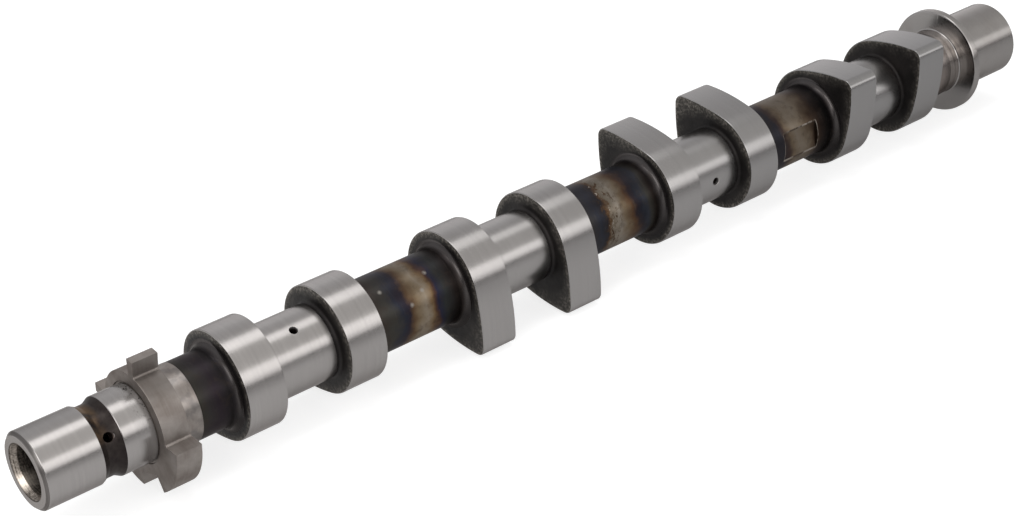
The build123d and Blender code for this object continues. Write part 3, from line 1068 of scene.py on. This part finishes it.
def heat_place(n, broad, fine):
    """Place along the shaft in millimetres, shifted so that the heat colours' borders wander and lean."""
    ragged = n.total(n.product(n.stretch(RAGGED_X), 0.7), 0.35)
    ragged = n.product(n.rescale(fine, 0.3, 0.7, -1.0, 1.0), ragged)
    shift = n.total(n.rescale(broad, 0.3, 0.7, -2.3, 2.3), ragged)
    ahead = n.math("FLOORED_MODULO", n.minus(FIRST_LOBE_X * MM, n.x), CYLINDER_PITCH * MM)
    calm = n.rescale(ahead, CALM_X[0] * MM, CALM_X[1] * MM, 0.15, 1.0)
    place = n.total(n.product(n.x, 1 / MM), n.product(shift, calm))
    for places, heights, lean in LEANS:
        place = n.total(place, n.product(n.stretch(places), n.upward(heights, 0.0, lean)))
    return place


def heat_colour(n, place):
    """Heat colours of the section that a place lies in."""
    colour = None
    for border, stops in zip(SECTION_BORDERS, CAST_SECTIONS):
        first, last = stops[0][0], stops[-1][0]
        shares = [((x - first) / (last - first), tone) for x, tone in stops]
        section = n.ramp(n.rescale(place, first, last), shares)
        colour = section if colour is None else n.mix(n.math("GREATER_THAN", place, border), colour, section)
    return colour


def add_scale(n, colour):
    """Jagged brown and pale flakes at the left border of the third section's heat band."""
    band = n.stretch(SCALE_X)
    x, y, z = n.x, n.product(n.y, 0.6), n.product(n.z, 0.6)
    jagged = n.noise(scale=700, detail=4, roughness=0.75, vector=n.vector(x, y, z))
    colour = n.mix(n.product(band, n.rescale(jagged, 0.55, 0.60)), colour, SCALE_BROWN)
    return n.mix(n.product(band, n.rescale(jagged, 0.38, 0.33)), colour, SCALE_PALE)


def add_ding_glints(n, colour, fine):
    """Small pale spots at dings, painted as glints of light, at their own places."""
    for x, angle in DING_GLINTS:
        ding_glint = (Vector((x, 0, 0)) + direction(angle) * SHAFT_R) * MM
        near = n.rescale(n.distance(n.spot, ding_glint), 0.2 * DING_GLINT_R * MM, DING_GLINT_R * MM, 0.7, 0.0)
        colour = n.mix(n.product(near, n.rescale(fine, 0.38, 0.54)), colour, DING_GLINT_PALE)
    return colour


def cast_material():
    """As-cast shaft with the colours that heat left between the cylinders, pale spots at dings painted as
    glints, and painted light and shade on the fillets before the lobes.
    """
    n = Finish("cast_skin")
    broad = n.noise(scale=75, detail=3, roughness=0.6)
    fine = n.noise(scale=420, detail=4, roughness=0.7)
    mottle = n.noise(scale=330, detail=5, roughness=0.65)
    streak = n.lines(per_mm=1.2, wobble=2)
    colour = heat_colour(n, heat_place(n, broad, fine))
    colour = n.mix(n.upward(CAST_TOP_Z, 0.0, 0.35), colour, CAST_TOP)
    colour = n.mix(n.rescale(mottle, 0.52, 0.72, 0.0, 0.5), colour, CAST_MOTTLE)
    colour = n.mix(n.rescale(streak, 0.58, 0.8, 0.0, 0.22), colour, CAST_STREAK)
    colour = add_ding_glints(n, add_scale(n, colour), fine)
    # painted light and shade on the fillets
    on_fillet = n.outward(FILLET_ZONE_R)
    lit = n.minus(n.z, n.product(n.y, FILLET_SLANT))
    fillet = n.mix(n.rescale(lit, FILLET_LIT[0] * MM, FILLET_LIT[1] * MM), FILLET_PAINTED_SHADE, FILLET_PAINTED_HIGHLIGHT)
    colour = n.mix(n.product(on_fillet, n.rescale(mottle, 0.3, 0.6, 0.9, 0.7)), colour, fillet)
    roughness = n.rescale(mottle, 0.3, 0.7, *CAST_ROUGHNESS)
    n.bump(n.total(mottle, n.product(streak, 0.4)), strength=0.24, distance=0.0001)
    return n.done(colour, n.minus(roughness, n.product(on_fillet, FILLET_SMOOTHER)), 0.85)


# makers of the materials, in the order of their numbers from GROUND to BEVEL
MAKERS = (
    ground_material, side_material, cast_material, ring_material, groove_material,
    bore_material, turned_material, bare_material, bevel_material,
)


def drill(shaft, cutter):
    """Cuts the oil holes into the shaft's mesh and removes their cutter."""
    cut = shaft.modifiers.new("oil_holes", "BOOLEAN")
    cut.operation = "DIFFERENCE"
    cut.solver = "EXACT"
    cut.object = cutter
    bpy.context.view_layer.update()
    drilled = shaft.evaluated_get(bpy.context.evaluated_depsgraph_get())
    mesh = bpy.data.meshes.new_from_object(drilled)
    shaft.modifiers.clear()
    shaft.data = mesh
    bpy.data.objects.remove(cutter)


def build_camshaft():
    """The dressed camshaft as one smooth object with sharp cut edges."""
    materials = [make() for make in MAKERS]
    mesh = camshaft_mesh()
    for material in materials:
        mesh.materials.append(material)
    weld(mesh)
    shaft = put_in_scene("camshaft_skin", mesh)
    drill(shaft, hole_cutter(materials))
    shaft.data.shade_smooth()
    shaft.data.set_sharp_from_angle(angle=radians(SHARP_ANGLE))
    weight = shaft.modifiers.new("even_faces", "WEIGHTED_NORMAL")
    weight.keep_sharp = True
    return shaft


def stand_at(place, right, up, back):
    """Matrix of a lamp or camera at a place, with its three axes."""
    return Matrix.Translation(place) @ Matrix((right, up, back)).transposed().to_4x4()


def strip_lamp(name, angle, start, end, width, radiance):
    """Soft lamp that faces the shaft at an angle about it, between two places along it."""
    data = bpy.data.lights.new(name, "AREA")
    data.shape = "RECTANGLE"
    data.size = end - start
    data.size_y = width
    data.energy = pi * radiance * data.size * data.size_y
    back = direction(angle)
    side = Vector((1, 0, 0))
    place = back * LAMP_DISTANCE + side * (start + end) / 2
    put_in_scene(name, data).matrix_world = stand_at(place, side, back.cross(side), back)


def part_of_sky(n, turn, levels):
    """Share that changes between two turns about the shaft, where a turn is counted from the sky's start."""
    start, end, at_start, at_end = levels
    return n.rescale(turn, radians(start - SKY_START), radians(end - SKY_START), at_start, at_end)


def sky_level(n, lean, turn):
    """How bright metal sees the sky, by how a direction leans along the shaft and turns about it."""
    far = n.rescale(lean, *FAR_LEAN)
    gain = n.total(part_of_sky(n, turn, FAR_FRONT_GAIN), part_of_sky(n, turn, FAR_BEHIND_GAIN))
    far_loss = n.product(far, n.minus(part_of_sky(n, turn, FAR_LOSS), gain))
    near_loss = n.product(n.rescale(lean, *NEAR_LEAN, 1.0, 0.0), part_of_sky(n, turn, NEAR_LOSS))
    return n.product(n.minus(n.minus(1.0, far_loss), near_loss), SKY_PEAK)


def build_world():
    """White all round to the eye, and shaded by direction to metal."""
    world = bpy.data.worlds.new("studio")
    bpy.context.scene.world = world
    world.use_nodes = True
    n = Nodes(world.node_tree)
    x, y, z = n.split(n.coordinates("Generated"))
    turn = n.total(n.math("ARCTAN2", z, y), 2 * pi - radians(SKY_START))
    turn = n.math("MODULO", turn, 2 * pi)
    stops = [((angle - SKY_START) / 360, colour) for angle, colour in SKY]
    shades = n.ramp(n.math("DIVIDE", turn, 2 * pi), stops)
    in_metal = n.add("ShaderNodeLightPath").outputs["Is Glossy Ray"]
    sky = n.tree.nodes["Background"]
    n.put(n.mix(in_metal, (1, 1, 1), shades), sky.inputs["Color"])
    n.put(n.by_ray(1.0, sky_level(n, x, turn), SOFT_LEVEL), sky.inputs["Strength"])


def floor_material():
    """Plain pale paper that the eye sees lit up to white, and that metal sees fade with distance."""
    material = bpy.data.materials.new("floor_paper")
    material.use_nodes = True
    n = Nodes(material.node_tree)
    paper = n.tree.nodes["Principled BSDF"]
    n.put((FLOOR_GREY, FLOOR_GREY, FLOOR_GREY), paper.inputs["Base Color"])
    n.put(FLOOR_ROUGHNESS, paper.inputs["Roughness"])
    n.put(0.0, paper.inputs["Specular IOR Level"])
    spot = n.coordinates("Object")
    y = n.split(spot)["Y"]
    reflected = n.product(
        n.rescale(n.distance(spot), *FLOOR_FADE),
        n.total(n.rescale(y, *FLOOR_FRONT), n.rescale(y, *FLOOR_BEHIND)),
    )
    glow = n.add("ShaderNodeEmission")
    n.put(n.by_ray(FLOOR_SEEN, reflected, 0.0), glow.inputs["Strength"])
    both = n.add("ShaderNodeAddShader")
    n.link(paper.outputs[0], both.inputs[0])
    n.link(glow.outputs[0], both.inputs[1])
    n.link(both.outputs[0], n.tree.nodes["Material Output"].inputs["Surface"])
    return material


def build_floor(height):
    """Wide square of floor at a height."""
    corners = ((-1, -1), (1, -1), (1, 1), (-1, 1))
    mesh = bpy.data.meshes.new("floor")
    mesh.from_pydata([(FLOOR_HALF * x, FLOOR_HALF * y, height) for x, y in corners], [], [(0, 1, 2, 3)])
    mesh.materials.append(floor_material())
    return put_in_scene("floor", mesh)


def build_camera():
    """Camera from its place, the turn and tilt of its view, and its roll."""
    turn, tilt, roll = radians(CAMERA_TURN), radians(CAMERA_TILT), radians(CAMERA_ROLL)
    back = Vector((-cos(turn) * cos(tilt), -sin(turn) * cos(tilt), sin(tilt)))
    level = Vector((sin(turn), -cos(turn), 0))
    right = level * cos(roll) + back.cross(level) * sin(roll)
    data = bpy.data.cameras.new("camera")
    data.sensor_fit = "HORIZONTAL"
    data.sensor_width = SENSOR_WIDTH
    data.lens = LENS
    data.clip_start = CLIP_START
    camera = put_in_scene("camera", data)
    camera.matrix_world = stand_at(CAMERA_PLACE, right, back.cross(right), back)
    bpy.context.scene.camera = camera


camshaft = build_camshaft()
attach(camshaft, "root")
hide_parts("camshaft")

build_camera()
build_world()
floor = build_floor(cad_box[0][2])
for name, angle, width, panels in LAMPS:
    for index, (start, end, radiance) in enumerate(panels):
        strip_lamp(f"{name}_{index}", angle, start, end, width, radiance)
bpy.context.scene.view_settings.view_transform = "Standard"
